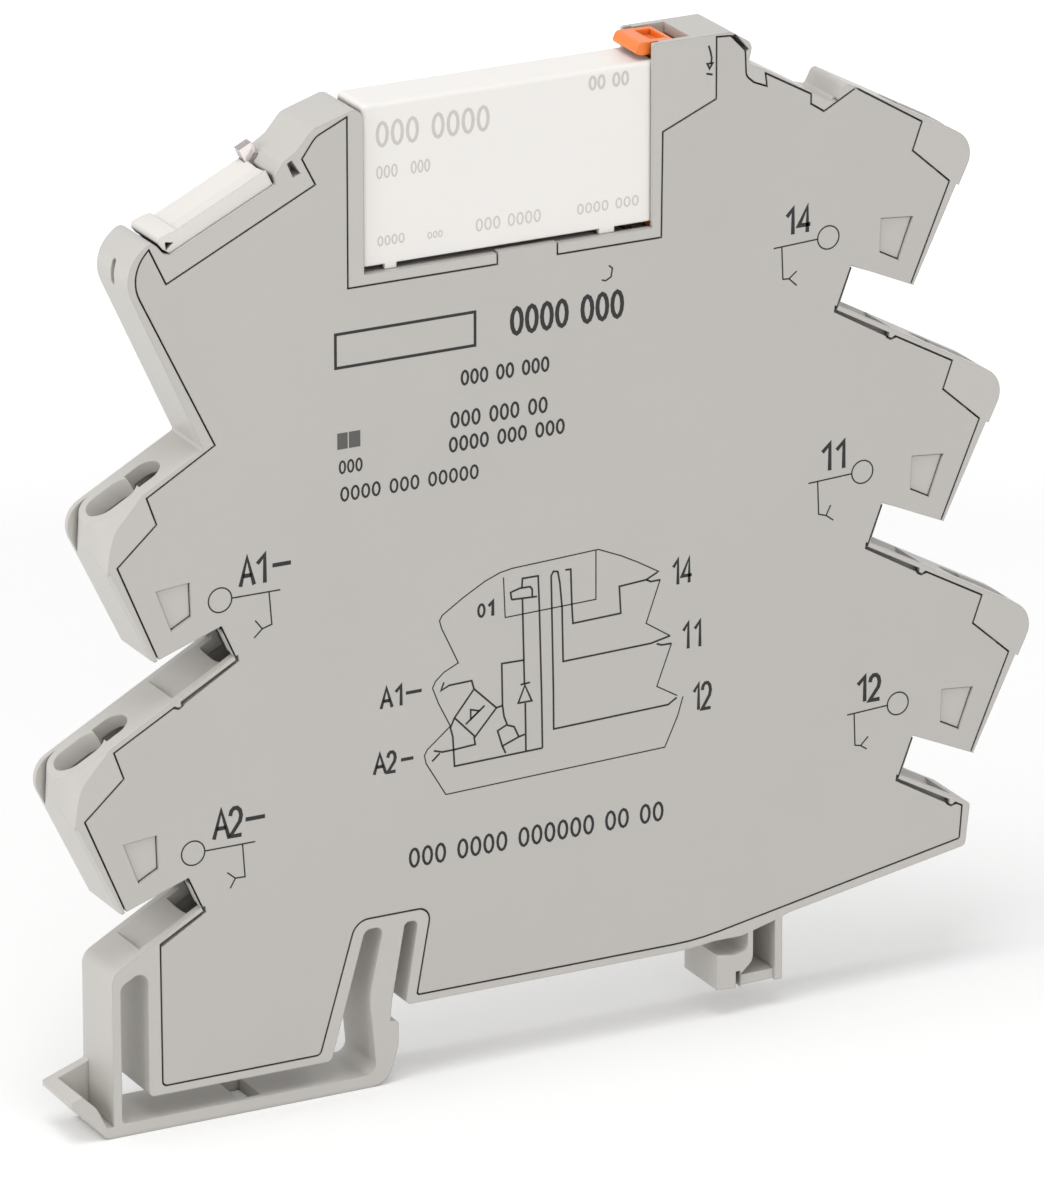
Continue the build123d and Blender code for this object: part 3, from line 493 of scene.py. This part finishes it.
# Arrow on the tower and hooked mark under the relay
arrow = {
    "shaft": [(13.1, 82.6), (13.28, 82.06), (13.4, 81.49), (13.35, 80.95)],
    "head": [(12.98, 81.0), (13.2, 80.55), (13.5, 81.0), (12.98, 81.0)],
    "bar": [(12.9, 80.14), (13.5, 79.97)],
}
printed("tower_arrow", [(arrow.values(), ARROW)], ink)

hook = [(3.56, 64.37), (3.9, 64.08), (3.77, 63.32), (3.25, 63.05), (2.88, 63.17)]
printed("hook_mark", [([hook], HOOK)], ink)

# Pale rows on the relay
relay_rows = [
    (zeros(1.8, 5.75, 80.1, 81.3, (2, 2)), 0.24),
    (zeros(-18.45, -7.5, 78.0, 80.2, (3, 4)), 0.3),
    (zeros(-18.37, -16.26, 75.2, 76.3, (3,)), 0.15),
    (zeros(-15.1, -13.2, 75.2, 76.3, (3,)), 0.15),
    (zeros(-9.0, -2.65, 69.15, 70.25, (3, 4)), 0.15),
    (zeros(0.68, 6.74, 69.2, 70.1, (4, 3)), 0.14),
    (zeros(-18.29, -15.63, 69.25, 70.1, (4,)), 0.13),
    (zeros(-13.54, -12.04, 69.2, 69.78, (3,)), 0.1),
]
printed("relay_rows", relay_rows, pale_ink, "relay", RELAY_NEAR)


# Camera, in the direction and at the distance worked out from the photo

AZIMUTH = math.radians(27.4)
ELEVATION = math.radians(20.2)
CAMERA_DISTANCE = 0.927
SENSOR = 36
LENS = 324
look = Vector((
    math.sin(AZIMUTH) * math.cos(ELEVATION),
    math.cos(AZIMUTH) * math.cos(ELEVATION),
    -math.sin(ELEVATION),
))
target = Vector((-4.78, NEAR, 35.4)) * MM
camera = bpy.data.objects.new("camera", bpy.data.cameras.new("camera"))
bpy.context.scene.collection.objects.link(camera)
camera.location = target - look * CAMERA_DISTANCE
camera.rotation_mode = "QUATERNION"
camera.rotation_quaternion = look.to_track_quat("-Z", "Y")
camera.data.sensor_width = SENSOR
camera.data.lens = LENS
camera.data.clip_start = 0.05
camera.data.clip_end = 20
bpy.context.scene.camera = camera


# Light

CENTRE = Vector((-0.005, 0.0, 0.04))


def area_light(name, place, size, power):
    """Soft box of the given size, aimed at the middle of the module."""
    data = bpy.data.lights.new(name, "AREA")
    data.shape = "SQUARE"
    data.size = size
    data.energy = power
    lamp = bpy.data.objects.new(name, data)
    lamp.location = place
    lamp.rotation_mode = "QUATERNION"
    lamp.rotation_quaternion = (CENTRE - Vector(place)).to_track_quat("-Z", "Y")
    bpy.context.scene.collection.objects.link(lamp)


area_light("overhead", (-0.15, -0.15, 0.95), 0.5, OVERHEAD)
area_light("left_box", (-0.95, -0.1, 0.4), 0.6, LEFT)
area_light("front_fill", (-0.2, -1.05, 0.4), 0.8, FRONT)


def for_eye(tree, low, high):
    """Strength that is low for light on the object and high for what the eye, gloss or glass sees."""
    path = tree.nodes.new("ShaderNodeLightPath")
    first = node(tree, "ShaderNodeMath", operation="MAXIMUM")
    second = node(tree, "ShaderNodeMath", operation="MAXIMUM")
    strength = node(tree, "ShaderNodeMapRange", To_Min=low, To_Max=high)
    tree.links.new(path.outputs["Is Camera Ray"], first.inputs[0])
    tree.links.new(path.outputs["Is Transmission Ray"], first.inputs[1])
    tree.links.new(first.outputs["Value"], second.inputs[0])
    tree.links.new(path.outputs["Is Glossy Ray"], second.inputs[1])
    tree.links.new(second.outputs["Value"], strength.inputs["Value"])
    return strength.outputs["Result"]


world = bpy.data.worlds.new("studio")
bpy.context.scene.world = world
world.use_nodes = True
back = world.node_tree.nodes["Background"]
back.inputs["Color"].default_value = (1, 1, 1, 1)
world.node_tree.links.new(for_eye(world.node_tree, AMBIENT, 1.0), back.inputs["Strength"])


def paper():
    """Pale floor that glows only to the eye, in gloss and through glass, more so far away."""
    mat, tree, shader = blank("paper")
    link = tree.links.new
    shader.inputs["Base Color"].default_value = PAPER
    shader.inputs["Roughness"].default_value = 0.9
    shader.inputs["Specular IOR Level"].default_value = 0.1
    place = node(tree, "ShaderNodeTexCoord")
    away = node(tree, "ShaderNodeVectorMath", operation="LENGTH")
    rise = node(tree, "ShaderNodeMapRange", From_Min=GLOW_FROM, From_Max=GLOW_TO,
                To_Min=GLOW_NEAR, To_Max=GLOW_FAR)
    strength = node(tree, "ShaderNodeMath", operation="MULTIPLY")
    glow = node(tree, "ShaderNodeEmission")
    both = node(tree, "ShaderNodeAddShader")
    link(place.outputs["Object"], away.inputs[0])
    link(away.outputs["Value"], rise.inputs["Value"])
    link(for_eye(tree, 0.0, 1.0), strength.inputs[0])
    link(rise.outputs["Result"], strength.inputs[1])
    link(strength.outputs["Value"], glow.inputs["Strength"])
    link(shader.outputs["BSDF"], both.inputs[0])
    link(glow.outputs["Emission"], both.inputs[1])
    link(both.outputs["Shader"], tree.nodes["Material Output"].inputs["Surface"])
    return mat


bpy.ops.mesh.primitive_plane_add(size=FLOOR_SIZE, location=(0, 0, FLOOR * MM))
floor = bpy.context.object
floor.name = "floor"
floor.data.materials.append(paper())

bpy.context.scene.view_settings.view_transform = "Standard"
